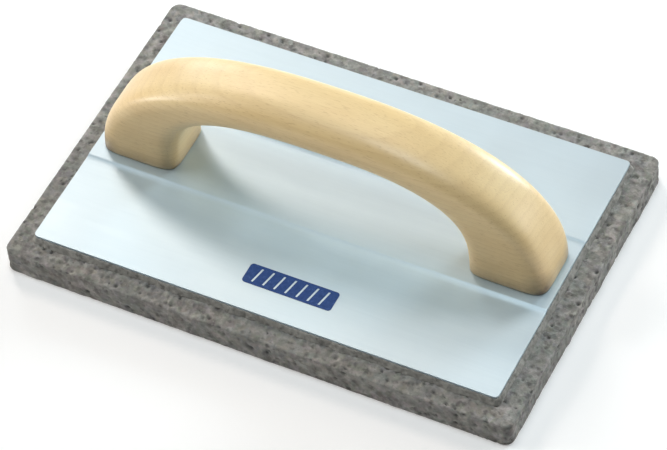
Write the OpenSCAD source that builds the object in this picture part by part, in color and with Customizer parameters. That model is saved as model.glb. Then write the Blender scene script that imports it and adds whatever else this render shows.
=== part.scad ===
// Rubber-faced hand float: a cellular rubber pad, a sheet metal backing plate and a wooden arch handle.
// X runs along the handle, Y across it and Z up. The origin is the centre of the pad's working face.

/* [Pad] */
// Length of the rubber pad
pad_l = 228.6; // [215:0.1:260]
// Width of the rubber pad
pad_w = 152.4; // [120:0.1:180]
// Thickness of the rubber pad
pad_t = 12; // [6:0.5:25]
// Radius of the pad's corners in plan
pad_corner_r = 4; // [1:0.5:8]

/* [Bond layer] */
// Thickness of the rubber cement between the pad and the plate
bond_t = 1.8; // [0.5:0.1:3]
// Distance that the squeezed-out bead of cement stands beyond the plate's edge
bond_bead = 1.3; // [0.2:0.1:3]

/* [Backing plate] */
// Border of pad left bare all round the plate
plate_margin = 10.2; // [6:0.1:14]
// Thickness of the plate's sheet
plate_t = 2; // [1.5:0.1:3]
// Radius of the plate's corners in plan
plate_corner_r = 2; // [1:0.5:8]
// Width of the flat top of the raised band that the handle stands on
band_w = 37; // [34:0.5:50]
// Height that the band is pressed up above the rest of the plate
band_rise = 0.5; // [0.3:0.1:1.4]
// Width of the sloping shoulder on each side of the band
shoulder_w = 1.4; // [1:0.2:6]

/* [Handle] */
// Gap between each end of the handle and the plate's short edge
handle_end_gap = 3.1; // [2:0.1:8]
// Height of the handle above the band
handle_h = 57.5; // [52:0.5:75]
// Width of the handle across the grip
handle_w = 29.2; // [24:0.1:33]
// Length of the finger opening where it meets the band
opening_l = 132; // [100:1:134]
// Height of the finger opening at its middle
opening_h = 39; // [30:0.5:42]
// Squareness of the outer arch, where 2 is a plain ellipse
outer_squareness = 2.3; // [2.2:0.05:4]
// Squareness of the finger opening
opening_squareness = 3.1; // [2:0.05:4]
// Squareness of the cross section at the crown, where the hand grips
grip_squareness = 2.6; // [2:0.1:4]
// Squareness of the cross section at the feet
foot_squareness = 5.5; // [2:0.1:8]

/* [Screws] */
// Length of each countersunk wood screw
screw_l = 22; // [14:1:24]
// Outside diameter of the screw's thread
screw_d = 4.2; // [3.6:0.1:5]

/* [Printed mark] */
// Length of the printed bar on the plate
mark_l = 40; // [30:1:80]
// Width of the printed bar
mark_w = 10; // [6:0.5:14]
// Distance of the bar to the right of the plate's middle
mark_shift = 5; // [-40:1:40]
// Distance of the bar's middle from the plate's front edge
mark_from_front = 17.5; // [10:0.5:20]
// Number of leaning slots cut through the bar
mark_slots = 7; // [1:1:12]

/* [Hidden] */
$fn = 64;
eps = 0.5;

plate_l = pad_l - 2 * plate_margin;
plate_w = pad_w - 2 * plate_margin;
plate_under_z = pad_t + bond_t;
band_top_z = plate_under_z + plate_t + band_rise;

handle_l = plate_l - 2 * handle_end_gap;
foot_l = (handle_l - opening_l) / 2;
foot_mid_x = (handle_l + opening_l) / 4;
shoulder_steps = 8;
arch_steps = 56;
section_steps = 32;

screw_r = screw_d / 2;
core_share = 0.7;
core_r = core_share * screw_r;
screw_head_land = 0.2;
screw_head_r = screw_r + plate_t - screw_head_land;
screw_hole_gap = 0.1;
screw_foot_z = plate_under_z + band_rise;
shank_share = 0.4;
shank_end = shank_share * screw_l;
threaded_share = 0.85;
tip_start = threaded_share * screw_l;
thread_count = 7;
thread_pitch = (tip_start - shank_end) / thread_count;
ridge_foot = 0.3;
ridge_crest = 0.8;
recess_w = 0.9;
recess_l = 4.4;
recess_depth = 1.1;

mark_t = 0.12;
mark_corner_r = 1.5;
mark_border = 1.3;
mark_slot_w = 0.9;
mark_slot_lean = 12;
mark_y = mark_from_front - plate_w / 2;

// Each screw's name and its place: which foot, and which side of the foot's middle
SCREWS = [
    ["screw_left_outer", -1, 1],
    ["screw_left_inner", -1, -1],
    ["screw_right_inner", 1, -1],
    ["screw_right_outer", 1, 1]
];

function screw_x(s) = s[1] * (foot_mid_x + s[2] * foot_l / 4);

// Height that the band adds to the sheet at the distance y from the plate's long centre line
function band_z(y) =
    let (u = (abs(y) - band_w / 2) / shoulder_w)
    band_rise * (u <= 0 ? 1 : u >= 1 ? 0 : (1 + cos(180 * u)) / 2);

// Places across a sheet of half width half_w where its surface changes slope, from front to back
function sheet_stations(half_w) =
    let (shoulder = [for (i = [0 : shoulder_steps]) band_w / 2 + shoulder_w * i / shoulder_steps])
    concat([-half_w], [for (i = [shoulder_steps : -1 : 0]) -shoulder[i]], shoulder, [half_w]);

// A signed power, which squares off the sine and cosine of a superellipse
function signed_pow(v, p) = sign(v) * pow(abs(v), p);

function arch_point(a, half_l, h, squareness) =
    [half_l * signed_pow(cos(a), 2 / squareness), h * signed_pow(sin(a), 2 / squareness)];

// One cross section of the handle, where the angle a runs from the right foot over to the left one
function handle_ring(a) =
    let (
        outer = arch_point(a, handle_l / 2, handle_h, outer_squareness),
        inner = arch_point(a, opening_l / 2, opening_h, opening_squareness),
        middle = (outer + inner) / 2,
        reach = (outer - inner) / 2,
        squareness = foot_squareness + (grip_squareness - foot_squareness) * sin(a)
    )
    [for (j = [0 : section_steps - 1])
        let (
            b = 360 * j / section_steps,
            across = signed_pow(cos(b), 2 / squareness),
            side = signed_pow(sin(b), 2 / squareness)
        )
        [middle[0] + reach[0] * across, side * handle_w / 2, middle[1] + reach[1] * across]];

// Two triangles for each patch between neighbouring rings
function ring_faces(rings, sides) =
    [for (i = [0 : rings - 2], j = [0 : sides - 1], half = [0, 1])
        let (k = (j + 1) % sides, low = i * sides, high = low + sides)
        half == 0 ? [low + j, low + k, high + k] : [low + j, high + k, high + j]];

module rounded_rect(l, w, r) {
    square([l - 2 * r, w], center = true);
    square([l, w - 2 * r], center = true);
    for (x = [-1, 1], y = [-1, 1])
        translate([x * (l / 2 - r), y * (w / 2 - r)]) circle(r);
}

// A solid whose outline across Y is given, run along X and trimmed to a rounded rectangle
module run_along_x(outline, l, w, r) {
    intersection() {
        rotate([90, 0, 90])
            linear_extrude(height = l + 2 * eps, center = true)
                polygon(outline);
        linear_extrude(height = 2 * band_top_z)
            rounded_rect(l, w, r);
    }
}

module at_screws() {
    for (s = SCREWS)
        translate([screw_x(s), 0, screw_foot_z]) children();
}

module pad() {
    color([0.45, 0.43, 0.40])
        linear_extrude(height = pad_t)
            rounded_rect(pad_l, pad_w, pad_corner_r);
}

// The bed of cement fills the gap under the plate and ends in a sloping bead all round
module bond_layer() {
    half_l = plate_l / 2;
    half_w = plate_w / 2;
    l = plate_l + 2 * bond_bead;
    w = plate_w + 2 * bond_bead;
    top = [for (y = sheet_stations(half_w)) [y, plate_under_z + band_z(y)]];
    across = concat([[w / 2, pad_t], [-w / 2, pad_t]], top);
    along = [
        [-l / 2, pad_t], [l / 2, pad_t], [half_l, plate_under_z],
        [half_l, band_top_z], [-half_l, band_top_z], [-half_l, plate_under_z]
    ];
    color([0.36, 0.34, 0.31])
        intersection() {
            run_along_x(across, l, w, plate_corner_r + bond_bead);
            rotate([90, 0, 0])
                linear_extrude(height = w + 2 * eps, center = true)
                    polygon(along);
        }
}

module back_plate() {
    half = plate_w / 2 + eps;
    stations = sheet_stations(half);
    top = [for (y = stations) [y, plate_under_z + plate_t + band_z(y)]];
    under = [for (i = [len(stations) - 1 : -1 : 0]) [stations[i], plate_under_z + band_z(stations[i])]];
    color([0.83, 0.86, 0.88])
        difference() {
            run_along_x(concat(top, under), plate_l, plate_w, plate_corner_r);
            at_screws() {
                translate([0, 0, -eps])
                    cylinder(h = plate_t + 2 * eps, r = screw_r + screw_hole_gap);
                translate([0, 0, screw_head_land])
                    cylinder(
                        h = plate_t - screw_head_land,
                        r1 = screw_head_r + screw_hole_gap,
                        r2 = screw_r + screw_hole_gap
                    );
                translate([0, 0, -eps])
                    cylinder(h = eps + screw_head_land, r = screw_head_r + screw_hole_gap);
            }
        }
}

module handle() {
    rings = [for (i = [0 : arch_steps]) handle_ring(180 * i / arch_steps)];
    last = arch_steps * section_steps;
    foot_cap = [for (j = [section_steps - 1 : -1 : 0]) j];
    far_cap = [for (j = [0 : section_steps - 1]) last + j];
    color([0.87, 0.74, 0.52])
        difference() {
            translate([0, 0, band_top_z])
                polyhedron(
                    points = [for (ring = rings) each ring],
                    faces = concat([foot_cap], ring_faces(arch_steps + 1, section_steps), [far_cap])
                );
            at_screws()
                cylinder(h = screw_l + 1, r = screw_r + screw_hole_gap);
        }
}

// A narrow slot that leans to the right, cut through the printed bar
module mark_slot() {
    h = mark_w / 2 - mark_border;
    lean = h * tan(mark_slot_lean);
    half = mark_slot_w / 2;
    polygon([[-half - lean, -h], [half - lean, -h], [half + lean, h], [lean - half, h]]);
}

module printed_mark() {
    color([0.11, 0.19, 0.47])
        translate([mark_shift, mark_y, plate_under_z + plate_t])
            linear_extrude(height = mark_t)
                difference() {
                    rounded_rect(mark_l, mark_w, mark_corner_r);
                    for (i = [1 : mark_slots])
                        translate([mark_l * (i / (mark_slots + 1) - 1 / 2), 0]) mark_slot();
                }
}

// Half outline of the screw from its head up to its point, with the thread as a row of ridges
function screw_outline() = concat(
    [[0, 0], [screw_head_r, 0], [screw_head_r, screw_head_land], [screw_r, plate_t], [screw_r, shank_end]],
    [for (i = [0 : thread_count - 1], ridge = [[core_r, ridge_foot], [screw_r, ridge_crest]])
        [ridge[0], shank_end + thread_pitch * (i + ridge[1])]],
    [[core_r, tip_start + ridge_foot * thread_pitch], [0, screw_l]]
);

module screw(s) {
    color([0.72, 0.70, 0.66])
        translate([screw_x(s), 0, screw_foot_z])
            difference() {
                rotate_extrude() polygon(screw_outline());
                for (turn = [45, 135])
                    rotate([0, 0, turn])
                        translate([-recess_l / 2, -recess_w / 2, -eps])
                            cube([recess_l, recess_w, recess_depth + eps]);
            }
}

pad();
bond_layer();
back_plate();
handle();
printed_mark();
for (s = SCREWS) screw(s);
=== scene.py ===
"""Looks of the rubber-faced hand float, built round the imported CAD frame.

Lengths are in metres in the CAD frame: X along the handle, Y away from the printed mark and Z up, with the
origin at the centre of the pad's working face.
"""

import math

import bpy
import numpy as np
from mathutils import Matrix, Vector


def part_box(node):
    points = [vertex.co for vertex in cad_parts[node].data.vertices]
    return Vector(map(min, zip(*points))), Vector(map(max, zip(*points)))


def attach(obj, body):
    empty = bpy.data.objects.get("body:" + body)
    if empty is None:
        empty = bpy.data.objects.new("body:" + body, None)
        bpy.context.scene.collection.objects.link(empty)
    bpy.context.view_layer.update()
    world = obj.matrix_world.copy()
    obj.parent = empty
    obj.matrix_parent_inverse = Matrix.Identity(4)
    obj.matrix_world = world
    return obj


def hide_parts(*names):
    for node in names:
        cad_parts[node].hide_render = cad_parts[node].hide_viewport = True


MM = 0.001
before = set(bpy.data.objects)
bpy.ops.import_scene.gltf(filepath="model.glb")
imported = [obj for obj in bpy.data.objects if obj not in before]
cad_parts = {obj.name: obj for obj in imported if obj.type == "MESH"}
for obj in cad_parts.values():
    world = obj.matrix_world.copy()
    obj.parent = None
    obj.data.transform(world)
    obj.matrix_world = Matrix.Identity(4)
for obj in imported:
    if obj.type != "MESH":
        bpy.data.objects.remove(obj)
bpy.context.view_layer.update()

pad_low, pad_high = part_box("pad")
bond_low, bond_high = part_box("bond_layer")
_, plate_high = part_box("back_plate")
handle_low, handle_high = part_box("handle")

# Camera, as it stands over the tool in the photograph
CAMERA_AZIMUTH = math.radians(30.41)
CAMERA_ELEVATION = math.radians(49.78)
CAMERA_ROLL = math.radians(-5.45)
CAMERA_DISTANCE = 1.468
CAMERA_LENS_MM = 193.27
CAMERA_SENSOR_MM = 36
CAMERA_AIM_BELOW = 0.00847
CAMERA_CLIP = (0.05, 50)

# Lights
LIGHT_DISTANCE = 2.2
COOL = (0.84, 0.95, 1.0)
WARM = (1.0, 0.86, 0.76)
NEAR_WHITE = (1.0, 0.95, 0.90)
SOFTBOXES = (
    # name, azimuth and elevation in degrees, width, power in watts, tint
    ("low_right", 32, 18, 0.75, 11, NEAR_WHITE),
    ("low_back_right", 70, 18, 0.75, 37, COOL),
    ("low_back_left", 135, 18, 0.75, 10, COOL),
    ("low_left", 200, 18, 0.75, 21, NEAR_WHITE),
    ("mid_left", 185, 42, 0.5, 7.5, NEAR_WHITE),
    ("key", 138, 43, 0.45, 9.5, WARM),
    ("high_back", 112, 62, 0.5, 4.6, WARM),
    ("overhead", 0, 90, 0.75, 16.5, COOL),
)

# World: a pale band along the horizon that fades into a faint fill above
SKY_TINT = (0.94, 0.97, 1.0, 1)
HORIZON_GLOW = 0.9
HORIZON_TOP = 0.06
FILL_STRENGTH = 0.04

# Floor, whose glow rises from the near distance to the far one
FLOOR_SIZE = 12.0
FLOOR_NEAR = 0.6
FLOOR_FAR = 3.0
FLOOR_GLOW_NEAR = 0.25
FLOOR_GLOW_FAR = 0.95

# Slabs: points round an outline, and the gap left between the last ring and the slab's middle line
OUTLINE_POINTS = 1000
SPINE_GAP = 0.4 * MM

# Pad: its radii, the border that shows round the plate, and the spacing of its rings there and underneath
PAD_CORNER = 4 * MM
PAD_EDGE = 0.9 * MM
PAD_BORDER = 13 * MM
PAD_STEP = 0.72 * MM
PAD_UNDER_STEP = 1.5 * MM

# Pores, and the least painted shade that the pad's sides get, where the middle of the deepest pores gets 1
PORE_KINDS = (
    # pitch of the cells, smallest and largest pore radius, share of cells with a pore, depth
    (3.4 * MM, 0.8 * MM, 1.6 * MM, 0.55, 0.85 * MM),
    (2.0 * MM, 0.5 * MM, 0.95 * MM, 0.60, 0.45 * MM),
)
DEEPEST_PORE = max(kind[-1] for kind in PORE_KINDS)
NO_PORE = 1e-9
PORE_SEED = 11
SEEDS_PER_KIND = 7
PAINTED_SIDE_SHADE = 0.22

# Unevenness of the pad's surface, all over and on its sides alone: depth, size of the lumps, seed
PAD_CRUMB = (0.10 * MM, 1.3 * MM, 3)
PAD_SIDE_WANDER = (
    (0.30 * MM, 9 * MM, 5),
    (0.25 * MM, 3.2 * MM, 6),
)

# Backing plate: the pressed band and the sheet, as in the CAD
PLATE_CORNER = 2 * MM
SHEET = 2 * MM
BAND_HALF = 18.5 * MM
BAND_RISE = 0.5 * MM
SHOULDER = 1.4 * MM

# Backing plate: its grid of points, fine near the corners and the shoulders, and its softened edges
PLATE_FINE_STEP = 0.4 * MM
PLATE_COARSE_STEP = 2 * MM
CORNER_REACH = 1.1 * PLATE_CORNER
SHOULDER_REACH = 1.8 * MM
SHORTEST_STEP = 0.3
PLATE_BEVEL = 0.7 * MM
BEVEL_SEGMENTS = 4
BEVEL_ANGLE = math.radians(50)

# Bead of cement: distance outwards from the plate's edge and height above the pad
BEAD = (
    (0.03 * MM, 1.7 * MM),
    (0.03 * MM, 2.8 * MM),
    (0.30 * MM, 2.6 * MM),
    (0.60 * MM, 1.8 * MM),
    (0.85 * MM, 0.9 * MM),
    (1.25 * MM, 0.2 * MM),
    (1.60 * MM, -0.4 * MM),
)
# Its wander, as shares of that distance: share, size of the lumps, seed
BEAD_WANDER = (
    (0.30, 6 * MM, 21),
    (0.15, 1.4 * MM, 22),
)
BEAD_HEIGHT_WANDER = 0.3
BEAD_ROOT = 0.1 * MM
BED_GAP = 0.1 * MM
BED_INNER_RING = 20 * MM

# Handle: squareness of its curves, as in the CAD
OUTER_SQUARENESS = 2.3
OPENING_SQUARENESS = 3.1
GRIP_SQUARENESS = 2.6
FOOT_SQUARENESS = 5.5

# Handle: how near the CAD handle's points lie to its base, to its middle line and to its crown
BASE_NEAR = 0.05 * MM
MIDDLE_NEAR = 1 * MM
CROWN_NEAR = 3 * MM

# Handle: its mesh
FOOT_CHAMFER = 0.5 * MM
HANDLE_RINGS = 220
HANDLE_SIDES = 96

# Wood: growth rings round the tree's heart, from which the origin lies this far along Y and Z
FROM_HEART = (12 * MM, 55 * MM)
RINGS_PER_METRE = 360.0
RING_SWAY = 6 * MM

# Painted shade on the feet: how far it reaches up them, and its full and fading reach from their outer
# corners
FOOT_SHADE_HEIGHT = 8 * MM
CORNER_SHADE_CORE = 2 * MM
CORNER_SHADE_REACH = 13 * MM


def link(mesh_name, points, faces, smooth=True):
    """A new object from points and faces, in the scene's collection."""
    mesh = bpy.data.meshes.new(mesh_name)
    mesh.from_pydata([tuple(p) for p in points], [], faces)
    mesh.validate()
    mesh.update()
    if smooth:
        mesh.shade_smooth()
    obj = bpy.data.objects.new(mesh_name, mesh)
    bpy.context.scene.collection.objects.link(obj)
    return obj


def smoothstep(u):
    """Rises smoothly from 0 to 1 as u does."""
    u = np.clip(u, 0.0, 1.0)
    return u * u * (3 - 2 * u)


# ---------------------------------------------------------------- noise in space

def cell_random(cells, seed):
    """A repeatable number from 0 to 1 for each row of whole-number cell coordinates.

    It is an integer hash, whose large constants scramble the bits.
    """
    x, y, z = (cells[..., k].astype(np.uint32) for k in range(3))
    h = x * np.uint32(374761393) + y * np.uint32(668265263) + z * np.uint32(2246822519)
    h = h + np.uint32((seed * 3266489917) % 2**32)
    h = (h ^ (h >> np.uint32(13))) * np.uint32(1274126177)
    h = (h ^ (h >> np.uint32(15))) * np.uint32(2654435761)
    h = h ^ (h >> np.uint32(16))
    return (h & np.uint32(0xFFFFFF)).astype(float) / 0x1000000


def value_noise(points, size, seed):
    """Smooth noise from -1 to 1 whose lumps are about size across."""
    p = points / size
    base = np.floor(p).astype(np.int64)
    f = smoothstep(p - base)
    total = np.zeros(len(points))
    for dx in (0, 1):
        for dy in (0, 1):
            for dz in (0, 1):
                corner = cell_random(base + np.array([dx, dy, dz]), seed)
                weight = (f[:, 0] if dx else 1 - f[:, 0]) * (f[:, 1] if dy else 1 - f[:, 1])
                total += corner * weight * (f[:, 2] if dz else 1 - f[:, 2])
    return 2 * total - 1


def unevenness(points, depth, size, seed):
    """How far noise sinks each point, from 0 to twice the depth."""
    return depth * (1 + value_noise(points, size, seed))


def pore_depth(points, pitch, small, large, share, seed):
    """How deep each point lies in the deepest of many round pores: 0 outside them, 1 in the middle of one."""
    p = points / pitch
    base = np.floor(p).astype(np.int64)
    deepest = np.zeros(len(points))
    for dx in (-1, 0, 1):
        for dy in (-1, 0, 1):
            for dz in (-1, 0, 1):
                cell = base + np.array([dx, dy, dz])
                centre = np.stack([cell_random(cell, seed + k) for k in range(3)], axis=1)
                radius = small + (large - small) * cell_random(cell, seed + 3) ** 2
                radius = np.where(cell_random(cell, seed + 4) < share, radius, NO_PORE)
                gap = np.linalg.norm((cell + centre - p) * pitch, axis=1) / radius
                deepest = np.maximum(deepest, np.clip(1 - gap**2, 0, 1) ** 1.5)
    return deepest


# ---------------------------------------------------------------- node materials

def set_range(node, low, high, to_low, to_high):
    """Makes a Map Range node turn the span from low to high into the one from to_low to to_high."""
    for name, number in (("From Min", low), ("From Max", high), ("To Min", to_low), ("To Max", to_high)):
        node.inputs[name].default_value = number


class Nodes:
    """A new material's node tree, with short ways to add and join nodes."""

    def __init__(self, name):
        self.material = bpy.data.materials.new(name)
        self.material.use_nodes = True
        self.tree = self.material.node_tree
        self.tree.nodes.clear()
        output = self.add("ShaderNodeOutputMaterial")
        self.shader = self.add("ShaderNodeBsdfPrincipled")
        self.join(self.shader.outputs["BSDF"], output.inputs["Surface"])
        self.place = self.add("ShaderNodeTexCoord").outputs["Object"]

    def add(self, kind, **settings):
        node = self.tree.nodes.new(kind)
        for name, value in settings.items():
            setattr(node, name, value)
        return node

    def join(self, source, target):
        self.tree.links.new(source, target)

    def feed(self, socket, value):
        """Joins an output to the socket, or sets it to a plain value."""
        if isinstance(value, bpy.types.NodeSocket):
            self.join(value, socket)
        else:
            socket.default_value = value

    def scaled(self, scale, shift=(0, 0, 0)):
        """The object's own coordinates, scaled along each axis and then shifted."""
        node = self.add("ShaderNodeMapping")
        self.join(self.place, node.inputs["Vector"])
        node.inputs["Scale"].default_value = scale
        node.inputs["Location"].default_value = shift
        return node.outputs["Vector"]

    def noise(self, vector, scale, detail=4.0, roughness=0.55):
        node = self.add("ShaderNodeTexNoise")
        self.join(vector, node.inputs["Vector"])
        node.inputs["Scale"].default_value = scale
        node.inputs["Detail"].default_value = detail
        node.inputs["Roughness"].default_value = roughness
        return node.outputs["Fac"]

    def cells(self, vector, scale, output="Distance"):
        node = self.add("ShaderNodeTexVoronoi")
        self.join(vector, node.inputs["Vector"])
        node.inputs["Scale"].default_value = scale
        return node.outputs[output]

    def ramp(self, value, *stops):
        """Turns a value into a colour. Each stop is a place and a grey or a colour."""
        node = self.add("ShaderNodeValToRGB")
        self.join(value, node.inputs["Fac"])
        ends = node.color_ramp.elements
        while len(ends) < len(stops):
            ends.new(0.5)
        for end, (at, colour) in zip(ends, stops):
            end.position = at
            end.color = (colour,) * 3 + (1,) if isinstance(colour, (int, float)) else (*colour, 1)
        return node.outputs["Color"]

    def mix(self, factor, a, b, blend="MIX"):
        node = self.add("ShaderNodeMix", data_type="RGBA", blend_type=blend)
        self.feed(node.inputs["Factor"], factor)
        colour_inputs = [s for s in node.inputs if s.type == "RGBA"]
        for socket, value in zip(colour_inputs, (a, b)):
            self.feed(socket, value if isinstance(value, bpy.types.NodeSocket) else (*value, 1))
        return next(s for s in node.outputs if s.type == "RGBA")

    def maths(self, operation, a, b=0.0):
        node = self.add("ShaderNodeMath", operation=operation)
        self.feed(node.inputs[0], a)
        self.feed(node.inputs[1], b)
        return node.outputs[0]

    def range(self, value, low, high, to_low, to_high):
        """Turns the span from low to high into the one from to_low to to_high, clamped to it."""
        node = self.add("ShaderNodeMapRange")
        self.feed(node.inputs["Value"], value)
        set_range(node, low, high, to_low, to_high)
        return node.outputs["Result"]

    def split(self, vector):
        """The X, Y and Z outputs of a vector."""
        node = self.add("ShaderNodeSeparateXYZ")
        self.join(vector, node.inputs[0])
        return node.outputs

    def attribute(self, name):
        return self.add("ShaderNodeAttribute", attribute_name=name).outputs["Fac"]

    def bump(self, height, distance, strength=1.0):
        node = self.add("ShaderNodeBump")
        self.join(height, node.inputs["Height"])
        node.inputs["Distance"].default_value = distance
        node.inputs["Strength"].default_value = strength
        self.join(node.outputs["Normal"], self.shader.inputs["Normal"])

    def set(self, **values):
        """Sets the shader's inputs, named with underscores in place of spaces."""
        for name, value in values.items():
            self.feed(self.shader.inputs[name.replace("_", " ")], value)


def dark_blots(n):
    """Noise whose peaks are the dark blotches that run on from the pad into the cement."""
    return n.noise(n.scaled((1, 1, 1), shift=(0.7, 0.2, 0.4)), 330, detail=2)


def rubber_material():
    """Cellular rubber: a grey crumb with soft dark blotches and pale specks, with painted shade in its pits
    and pores and on its sides.
    """
    n = Nodes("cellular_rubber")
    grain = n.noise(n.place, 900, detail=3, roughness=0.7)
    mottle = n.noise(n.place, 260, detail=4, roughness=0.6)
    patches = n.noise(n.place, 45, detail=2)
    body = n.ramp(
        mottle,
        (0.30, (0.150, 0.143, 0.130)),
        (0.50, (0.262, 0.252, 0.234)),
        (0.70, (0.410, 0.392, 0.362)),
    )
    body = n.mix(n.range(patches, 0.35, 0.65, 0.0, 0.35), body, (0.212, 0.224, 0.214))
    crumbs = n.cells(n.place, 420, output="Color")
    body = n.mix(0.05, body, crumbs, blend="SOFT_LIGHT")
    body = n.mix(n.range(dark_blots(n), 0.58, 0.70, 0.0, 0.55), body, (0.080, 0.080, 0.075))
    specks = n.range(n.cells(n.place, 480), 0.0, 0.26, 1.0, 0.0)
    body = n.mix(n.maths("MULTIPLY", specks, 0.35), body, (0.46, 0.45, 0.42))
    # Small pits, dented in the bump and darkened there as painted shade
    pits = n.range(n.cells(n.scaled((1, 1, 1), shift=(0.3, 0.1, 0.2)), 260), 0.0, 0.36, 1.0, 0.0)
    body = n.mix(n.maths("MULTIPLY", pits, 0.55), body, (0.065, 0.065, 0.060))
    # Painted shade: darker by the depth of the pores, and on the pad's sides
    body = n.mix(n.range(n.attribute("pore_and_side_shade"), 0.10, 0.75, 0.0, 0.80), body, (0.055, 0.056, 0.054))
    height = n.maths("ADD", n.maths("MULTIPLY", grain, 0.35), n.maths("MULTIPLY", mottle, 0.8))
    height = n.maths("SUBTRACT", height, pits)
    n.bump(height, 0.5 * MM, strength=0.7)
    n.set(Base_Color=body, Roughness=0.93, Specular_IOR_Level=0.25)
    return n.material


def cement_material():
    """Rubber cement with crumbs of the pad stuck in it."""
    n = Nodes("rubber_cement")
    lumps = n.noise(n.place, 500, detail=4)
    body = n.ramp(lumps, (0.3, (0.200, 0.195, 0.180)), (0.7, (0.380, 0.370, 0.340)))
    body = n.mix(n.range(dark_blots(n), 0.56, 0.68, 0.0, 0.6), body, (0.085, 0.083, 0.077))
    n.bump(lumps, 0.4 * MM)
    n.set(Base_Color=body, Roughness=0.85, Specular_IOR_Level=0.3)
    return n.material


def plate_material():
    """Satin sheet of a light alloy, faintly streaked along the plate and cloudy."""
    n = Nodes("plate_metal")
    rolled = n.noise(n.scaled((22, 700, 700)), 1.0, detail=5, roughness=0.65)
    cloudy = n.noise(n.place, 28, detail=3, roughness=0.5)
    fine = n.noise(n.place, 1800, detail=2)
    tone = n.ramp(cloudy, (0.35, (0.500, 0.610, 0.675)), (0.65, (0.530, 0.640, 0.705)))
    body = n.mix(n.range(rolled, 0.35, 0.65, 0.0, 0.20), tone, (0.480, 0.585, 0.650))
    rough = n.maths(
        "ADD", n.range(rolled, 0.3, 0.7, 0.40, 0.48), n.range(cloudy, 0.3, 0.7, -0.03, 0.05)
    )
    height = n.maths("ADD", n.maths("MULTIPLY", rolled, 0.7), n.maths("MULTIPLY", fine, 0.3))
    n.bump(height, 0.02 * MM, strength=0.6)
    n.set(Base_Color=body, Metallic=0.6, Roughness=rough)
    return n.material


def painted_shade_on_feet(n):
    """Painted shade low on the handle's feet, blotchy and heaviest round their outer corners."""
    folded = n.add("ShaderNodeVectorMath", operation="ABSOLUTE")
    n.join(n.place, folded.inputs[0])
    corner = n.add("ShaderNodeVectorMath", operation="DISTANCE")
    n.join(folded.outputs["Vector"], corner.inputs[0])
    corner.inputs[1].default_value = (handle_high.x, handle_high.y, handle_low.z)
    height = n.split(n.place)["Z"]
    near_foot = n.range(height, handle_low.z, handle_low.z + FOOT_SHADE_HEIGHT, 0.45, 0.0)
    near_corner = n.range(corner.outputs["Value"], CORNER_SHADE_CORE, CORNER_SHADE_REACH, 1.0, 0.0)
    blotchy = n.range(n.noise(n.place, 150, detail=3), 0.35, 0.65, 0.6, 1.0)
    return n.maths("MULTIPLY", n.maths("MAXIMUM", near_foot, near_corner), blotchy)


def wood_material():
    """Pale hardwood cut from one board: growth rings, fibres and short flecks along X, under thin lacquer."""
    n = Nodes("handle_wood")
    sway = n.noise(n.scaled((4, 40, 40)), 1.0, detail=2)
    from_heart = n.split(n.scaled((1, 1, 1), shift=(0, *FROM_HEART)))
    across = n.maths("POWER", from_heart["Y"], 2.0)
    upward = n.maths("POWER", from_heart["Z"], 2.0)
    radius = n.maths("SQRT", n.maths("ADD", across, upward))
    radius = n.maths("ADD", radius, n.maths("MULTIPLY", sway, RING_SWAY))
    rings = n.maths("FRACT", n.maths("MULTIPLY", radius, RINGS_PER_METRE))
    rings = n.ramp(rings, (0.0, 0.35), (0.55, 0.5), (0.88, 0.95), (1.0, 0.35))
    fibre = n.noise(n.scaled((60, 1500, 1500)), 1.0, detail=4, roughness=0.7)
    fleck = n.range(n.noise(n.scaled((260, 2600, 2600)), 1.0, detail=1), 0.60, 0.72, 0.0, 1.0)
    patches = n.noise(n.scaled((14, 45, 45)), 1.0, detail=3)
    body = n.ramp(patches, (0.30, (0.760, 0.550, 0.262)), (0.70, (0.875, 0.690, 0.372)))
    body = n.mix(n.maths("MULTIPLY", rings, 0.30), body, (0.570, 0.380, 0.175))
    body = n.mix(n.range(fibre, 0.35, 0.70, 0.0, 0.28), body, (0.610, 0.430, 0.210))
    body = n.mix(n.maths("MULTIPLY", fleck, 0.35), body, (0.420, 0.245, 0.105))
    # Painted shade: the wood goes dark brown low on the feet and round their outer corners
    body = n.mix(painted_shade_on_feet(n), body, (0.130, 0.070, 0.045))
    height = n.maths("SUBTRACT", n.maths("MULTIPLY", fibre, 0.6), n.maths("MULTIPLY", fleck, 0.4))
    n.bump(height, 0.05 * MM, strength=0.5)
    n.set(Base_Color=body, Roughness=n.range(fibre, 0.3, 0.7, 0.40, 0.52))
    n.set(Coat_Weight=0.45, Coat_Roughness=0.32)
    return n.material


def ink_material():
    """Printed blue ink, slightly worn."""
    n = Nodes("mark_ink")
    wear = n.noise(n.place, 700, detail=5, roughness=0.7)
    body = n.ramp(
        wear,
        (0.35, (0.010, 0.040, 0.160)),
        (0.62, (0.020, 0.062, 0.215)),
        (0.74, (0.10, 0.16, 0.33)),
    )
    n.bump(wear, 0.03 * MM)
    n.set(Base_Color=body, Roughness=0.6, Specular_IOR_Level=0.25)
    return n.material


def steel_material():
    """Zinc-plated steel with fine turning marks."""
    n = Nodes("screw_steel")
    turned = n.noise(n.scaled((300, 300, 2500)), 1.0, detail=3)
    n.bump(turned, 0.02 * MM)
    body = n.ramp(turned, (0.3, (0.60, 0.56, 0.46)), (0.7, (0.74, 0.71, 0.62)))
    n.set(Base_Color=body, Metallic=1.0, Roughness=n.range(turned, 0.3, 0.7, 0.28, 0.42))
    return n.material


# ---------------------------------------------------------------- outlines of slabs

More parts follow.
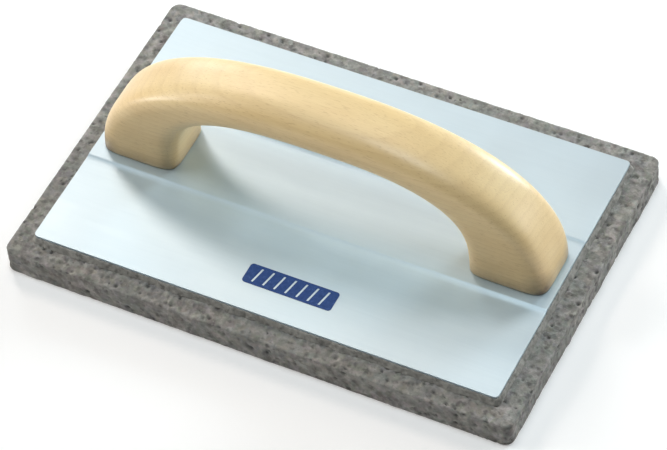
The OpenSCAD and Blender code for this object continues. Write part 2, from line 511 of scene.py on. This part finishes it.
def outline(length, width, corner, count):
    """Points evenly spaced round a rounded rectangle, anticlockwise from the middle of its +X side."""
    sides = np.array([width, length]) - 2 * corner
    halves = np.array([length, width]) / 2
    arc = math.pi * corner / 2
    # Each quarter of the way round is a straight side and then the arc at its end
    marks = np.cumsum([0, sides[0], arc, sides[1], arc, sides[0], arc, sides[1], arc])
    travelled = (sides[0] / 2 + np.arange(count) * marks[-1] / count) % marks[-1]
    stretch = np.searchsorted(marks, travelled, side="right") - 1
    past = travelled - marks[stretch]
    quarter, on_arc = np.divmod(stretch, 2)
    side, half = sides[quarter % 2], halves[quarter % 2]
    turn = np.where(on_arc, past / corner, 0)
    along = np.where(on_arc, side / 2, past - side / 2) + corner * np.sin(turn)
    out = half - corner * (1 - np.cos(turn))
    facing = np.array([(1, 0), (0, 1), (-1, 0), (0, -1)])[quarter]
    x = out * facing[:, 0] - along * facing[:, 1]
    y = out * facing[:, 1] + along * facing[:, 0]
    return np.column_stack([x, y])


def inset(edge, depth, length, width):
    """The outline moved inwards by depth, towards the slab's middle line. Below 0 it moves outwards."""
    spine_half = (length - width) / 2
    spine = np.column_stack([np.clip(edge[:, 0], -spine_half, spine_half), np.zeros(len(edge))])
    share = depth / (width / 2)
    return edge * (1 - share) + spine * share


def loft(rings):
    """Faces between rings of equal length, whose points make one long list, with the two end rings closed."""
    count, sides = len(rings), len(rings[0])
    faces = []
    for i in range(count - 1):
        for j in range(sides):
            k = (j + 1) % sides
            faces.append((i * sides + j, (i + 1) * sides + j, (i + 1) * sides + k, i * sides + k))
    faces.append(tuple(range(sides)))
    faces.append(tuple(reversed(range((count - 1) * sides, count * sides))))
    return faces


# ---------------------------------------------------------------- the pieces

def pad_rim(turns, height, facing):
    """The pad's rounded rim, as part of its profile. Facing is 1 at the top and -1 at the bottom."""
    return [
        (
            PAD_EDGE * (1 - math.sin(turn)),
            height - facing * PAD_EDGE * (1 - math.cos(turn)),
            math.sin(turn),
            facing * math.cos(turn),
        )
        for turn in turns
    ]


def pad_profile(width):
    """Half a section of the pad, from the middle of its top, down its side, to the middle of its bottom.

    Each point is its depth in from the edge, its height, and its normal's outward and upward parts.
    """
    top, bottom = pad_high.z, pad_low.z
    middle = width / 2 - SPINE_GAP
    # Few rings where the plate covers the top, and many on the bare border
    profile = [(depth, top, 0, 1) for depth in (middle, 0.66 * middle, 0.38 * middle, 1.25 * PAD_BORDER)]
    profile += [(depth, top, 0, 1) for depth in np.arange(PAD_BORDER, PAD_EDGE, -PAD_STEP)]
    rim_turns = np.radians((0, 22.5, 45, 67.5, 90))
    profile += pad_rim(rim_turns, top, 1)
    side_height = top - bottom - 2 * PAD_EDGE
    rows = round(side_height / PAD_STEP)
    profile += [(0, top - PAD_EDGE - side_height * k / rows, 1, 0) for k in range(1, rows)]
    profile += pad_rim(rim_turns[::-1], bottom, -1)
    under = np.arange(PAD_EDGE + PAD_UNDER_STEP, middle, PAD_UNDER_STEP)
    profile += [(depth, bottom, 0, -1) for depth in (*under, middle)]
    return profile


def make_pad():
    """The cellular pad: a slab with pitted faces and slightly torn edges."""
    length, width = pad_high.x - pad_low.x, pad_high.y - pad_low.y
    edge = outline(length, width, PAD_CORNER, OUTLINE_POINTS)
    tangent = np.roll(edge, -1, axis=0) - np.roll(edge, 1, axis=0)
    outward = np.stack([tangent[:, 1], -tangent[:, 0]], axis=1)
    outward /= np.linalg.norm(outward, axis=1)[:, None]
    rings, normals = [], []
    for depth, z, out, up in pad_profile(width):
        flat = inset(edge, depth, length, width)
        rings.append(np.column_stack([flat, np.full(len(flat), z)]))
        normals.append(np.column_stack([outward * out, np.full(len(flat), up)]))
    points, normal = np.concatenate(rings), np.concatenate(normals)

    pore_and_side_shade = np.zeros(len(points))
    sink = np.zeros(len(points))
    for k, (pitch, small, large, share, depth) in enumerate(PORE_KINDS):
        seed = PORE_SEED + SEEDS_PER_KIND * k
        pit = depth * pore_depth(points, pitch, small, large, share, seed)
        sink = np.maximum(sink, pit)
        pore_and_side_shade = np.maximum(pore_and_side_shade, pit / DEEPEST_PORE)
    sink += unevenness(points, *PAD_CRUMB)
    on_side = np.abs(normal[:, 0]) + np.abs(normal[:, 1])
    for lumps in PAD_SIDE_WANDER:
        sink += on_side * unevenness(points, *lumps)
    # The pad's sides get painted shade, carried with the pores' painted shade in one attribute
    pore_and_side_shade = np.maximum(pore_and_side_shade, PAINTED_SIDE_SHADE * on_side)
    pad = link("rubber_pad", points - normal * sink[:, None], loft(rings))
    store = pad.data.attributes.new("pore_and_side_shade", "FLOAT", "POINT")
    store.data.foreach_set("value", pore_and_side_shade.astype(np.float32))
    pad.data.materials.append(rubber_material())
    return pad


def band_height(y):
    """How far the pressed band lifts the sheet at each y."""
    return BAND_RISE * (1 - smoothstep((np.abs(y) - BAND_HALF) / SHOULDER))


def stations(half, fine_near):
    """Places from -half to half, close together near each centre in fine_near and further apart elsewhere."""
    places, at = [-half], -half
    while at < half:
        near = any(abs(at - centre) < reach for centre, reach in fine_near)
        at += PLATE_FINE_STEP if near else PLATE_COARSE_STEP
        places.append(min(at, half))
    if places[-1] - places[-2] < SHORTEST_STEP * PLATE_FINE_STEP:
        places.pop(-2)
    return np.array(places)


def make_plate():
    """The sheet metal plate, with its pressed band, rounded corners and softened edges."""
    half_x, half_y = plate_high.x, plate_high.y
    shoulder = BAND_HALF + SHOULDER / 2
    fine_x = [(side * half_x, CORNER_REACH) for side in (-1, 1)]
    fine_y = [(side * half_y, CORNER_REACH) for side in (-1, 1)]
    fine_y += [(side * shoulder, SHOULDER_REACH) for side in (-1, 1)]
    xs, ys = stations(half_x, fine_x), stations(half_y, fine_y)
    x, y = np.meshgrid(xs, ys, indexing="ij")
    # Within each corner's square the grid's points are drawn in to the corner's arc
    straight_x, straight_y = half_x - PLATE_CORNER, half_y - PLATE_CORNER
    over_x = np.maximum(np.abs(x) - straight_x, 0)
    over_y = np.maximum(np.abs(y) - straight_y, 0)
    reach = np.hypot(over_x, over_y)
    pull = np.where(reach > 0, np.maximum(over_x, over_y) / np.where(reach > 0, reach, 1), 1)
    x = np.sign(x) * (np.minimum(np.abs(x), straight_x) + over_x * pull)
    y = np.sign(y) * (np.minimum(np.abs(y), straight_y) + over_y * pull)
    flat_top = plate_high.z - BAND_RISE
    points = np.stack([x, y, flat_top + band_height(y)], axis=-1).reshape(-1, 3)
    columns = len(ys)
    faces = [
        (i * columns + j, (i + 1) * columns + j, (i + 1) * columns + j + 1, i * columns + j + 1)
        for i in range(len(xs) - 1)
        for j in range(columns - 1)
    ]
    plate = link("metal_plate", points, faces)
    thick = plate.modifiers.new("sheet", "SOLIDIFY")
    thick.thickness = SHEET
    thick.offset = -1
    soft = plate.modifiers.new("edge", "BEVEL")
    soft.width = PLATE_BEVEL
    soft.segments = BEVEL_SEGMENTS
    soft.limit_method = "ANGLE"
    soft.angle_limit = BEVEL_ANGLE
    soft.harden_normals = True
    plate.data.materials.append(plate_material())
    return plate


def make_bond():
    """The bed of cement, with an uneven bead squeezed out against the plate's edge."""
    length, width = 2 * plate_high.x, 2 * plate_high.y
    bed = bond_high.z - BAND_RISE - bond_low.z
    middle = width / 2 - SPINE_GAP
    edge = outline(length, width, PLATE_CORNER, OUTLINE_POINTS)
    band_edges = (width / 2 - BAND_HALF, width / 2 - BAND_HALF - SHOULDER)
    top_rings = [(-depth, bed - BED_GAP) for depth in (middle, *band_edges, BED_INNER_RING)]
    low_rings = [(-depth, BEAD[-1][1]) for depth in (BED_INNER_RING, middle)]
    rings = []
    for out, height in (*top_rings, *BEAD, *low_rings):
        flat = inset(edge, -out, length, width)
        if out > BEAD_ROOT:
            spots = np.column_stack([flat, np.zeros(len(flat))])
            wander = sum(share * value_noise(spots, size, seed) for share, size, seed in BEAD_WANDER)
            flat = inset(edge, -out * (1 + wander[:, None]), length, width)
            height = height * (1 + BEAD_HEIGHT_WANDER * wander)
        lift = band_height(flat[:, 1]) * np.clip(height / bed, 0, 1)
        rings.append(np.column_stack([flat, bond_low.z + height + lift]))
    bond = link("cement_bed", np.concatenate(rings), loft(rings))
    bond.data.materials.append(cement_material())
    return bond


def signed_power(v, p):
    """A power that keeps the sign, which squares off the sine and cosine of a superellipse."""
    return np.sign(v) * np.abs(v) ** p


def arch_point(angle, half_length, height, squareness):
    """The point of a superellipse arch at an angle, as X and height above its base."""
    along = half_length * signed_power(math.cos(angle), 2 / squareness)
    return np.array([along, height * signed_power(math.sin(angle), 2 / squareness)])


def chamfered(foot):
    """A foot's end ring made smaller all round by the chamfer."""
    low, high = foot.min(axis=0), foot.max(axis=0)
    middle, half = (low + high) / 2, (high - low) / 2
    shrink = np.array([1 - FOOT_CHAMFER / half[0], 1 - FOOT_CHAMFER / half[1], 1])
    return middle + (foot - middle) * shrink


def make_handle():
    """The wooden arch: superellipse sections swept from foot to foot, with a chamfer under each foot."""
    base, crown = handle_low.z, handle_high.z
    half_length, half_width = handle_high.x, handle_high.y
    # The opening is measured on the CAD handle, between its feet and up to the underside of its crown
    cad = np.array([v.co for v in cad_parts["handle"].data.vertices])
    from_middle = np.abs(cad)
    at_base = (cad[:, 2] < base + BASE_NEAR) & (from_middle[:, 1] < MIDDLE_NEAR)
    opening_half = from_middle[at_base, 0].min()
    opening_height = cad[from_middle[:, 0] < CROWN_NEAR, 2].min() - base
    around = np.arange(HANDLE_SIDES) * 2 * math.pi / HANDLE_SIDES
    rings = []
    for angle in np.linspace(0, math.pi, HANDLE_RINGS):
        outer = arch_point(angle, half_length, crown - base, OUTER_SQUARENESS)
        inner = arch_point(angle, opening_half, opening_height, OPENING_SQUARENESS)
        middle, reach = (outer + inner) / 2, (outer - inner) / 2
        squareness = FOOT_SQUARENESS + (GRIP_SQUARENESS - FOOT_SQUARENESS) * math.sin(angle)
        across = signed_power(np.cos(around), 2 / squareness)
        side = signed_power(np.sin(around), 2 / squareness)
        x = middle[0] + reach[0] * across
        z = base + middle[1] + reach[1] * across
        rings.append(np.column_stack([x, half_width * side, z]))
    ends = [chamfered(rings[0]), chamfered(rings[-1])]
    rings[0][:, 2] = base + FOOT_CHAMFER
    rings[-1][:, 2] = base + FOOT_CHAMFER
    rings = [ends[0], *rings, ends[1]]
    handle = link("wooden_handle", np.concatenate(rings), loft(rings))
    handle.data.materials.append(wood_material())
    return handle


def make_floor():
    """A plain pale floor whose faint glow keeps the shadows light, and rises far away from the tool."""
    half = FLOOR_SIZE / 2
    corners = [(-half, -half, 0), (half, -half, 0), (half, half, 0), (-half, half, 0)]
    floor = link("floor", corners, [(0, 1, 2, 3)], smooth=False)
    n = Nodes("floor_paper")
    away = n.add("ShaderNodeVectorMath", operation="LENGTH")
    n.join(n.place, away.inputs[0])
    body = n.ramp(n.noise(n.place, 3.0), (0.4, 0.78), (0.6, 0.79))
    n.set(Base_Color=body, Roughness=0.9, Specular_IOR_Level=0.1, Emission_Color=(1, 1, 1, 1))
    glow = n.range(away.outputs["Value"], FLOOR_NEAR, FLOOR_FAR, FLOOR_GLOW_NEAR, FLOOR_GLOW_FAR)
    n.set(Emission_Strength=glow)
    floor.data.materials.append(n.material)


def make_camera():
    """The camera at the photograph's viewing angle, aimed a little below the middle of the pad's top."""
    az, el, roll = CAMERA_AZIMUTH, CAMERA_ELEVATION, CAMERA_ROLL
    back = Vector((math.sin(az) * math.cos(el), -math.cos(az) * math.cos(el), math.sin(el)))
    level = Vector((math.cos(az), math.sin(az), 0))
    upright = back.cross(level)
    right = math.cos(roll) * level + math.sin(roll) * upright
    up = back.cross(right)
    middle = Vector((0, 0, pad_high.z))
    place = middle + back * CAMERA_DISTANCE
    back = (place - (middle - up * CAMERA_AIM_BELOW)).normalized()
    up = back.cross(right).normalized()
    camera = bpy.data.objects.new("camera", bpy.data.cameras.new("camera"))
    camera.matrix_world = Matrix.Translation(place) @ Matrix((right, up, back)).transposed().to_4x4()
    camera.data.lens = CAMERA_LENS_MM
    camera.data.sensor_width = CAMERA_SENSOR_MM
    camera.data.clip_start, camera.data.clip_end = CAMERA_CLIP
    bpy.context.scene.collection.objects.link(camera)
    bpy.context.scene.camera = camera


def softbox(name, azimuth, elevation, width, power, tint):
    """A round soft light that faces the tool. Azimuth 0 is along +X and 90 along +Y."""
    turn, rise = math.radians(azimuth), math.radians(elevation)
    way = Vector((math.cos(turn) * math.cos(rise), math.sin(turn) * math.cos(rise), math.sin(rise)))
    light = bpy.data.objects.new(name, bpy.data.lights.new(name, "AREA"))
    light.location = way * LIGHT_DISTANCE
    light.rotation_mode = "QUATERNION"
    light.rotation_quaternion = way.to_track_quat("Z", "Y")
    light.data.shape = "DISK"
    light.data.size = width
    light.data.energy = power
    light.data.color = tint
    bpy.context.scene.collection.objects.link(light)


def make_world():
    """A faint even fill, with a pale band along the horizon that low views look into."""
    world = bpy.data.worlds.new("studio")
    world.use_nodes = True
    nodes, links = world.node_tree.nodes, world.node_tree.links
    height = nodes.new("ShaderNodeSeparateXYZ")
    glow = nodes.new("ShaderNodeMapRange")
    set_range(glow, 0, HORIZON_TOP, HORIZON_GLOW, FILL_STRENGTH)
    links.new(nodes.new("ShaderNodeTexCoord").outputs["Generated"], height.inputs[0])
    links.new(height.outputs["Z"], glow.inputs["Value"])
    links.new(glow.outputs["Result"], nodes["Background"].inputs["Strength"])
    nodes["Background"].inputs["Color"].default_value = SKY_TINT
    bpy.context.scene.world = world


make_camera()
for box in SOFTBOXES:
    softbox(*box)
make_world()
bpy.context.scene.view_settings.view_transform = "Standard"
make_floor()

for piece, node, slot in (
    (make_pad(), "pad", "cellular_rubber"),
    (make_bond(), "bond_layer", "rubber_cement"),
    (make_plate(), "back_plate", "plate_metal"),
    (make_handle(), "handle", "handle_wood"),
):
    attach(piece, "root")
    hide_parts(node)

ink, steel = ink_material(), steel_material()
for name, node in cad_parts.items():
    if name == "printed_mark" or name.startswith("screw"):
        finish = ink if name == "printed_mark" else steel
        for material_slot in node.material_slots:
            material_slot.material = finish
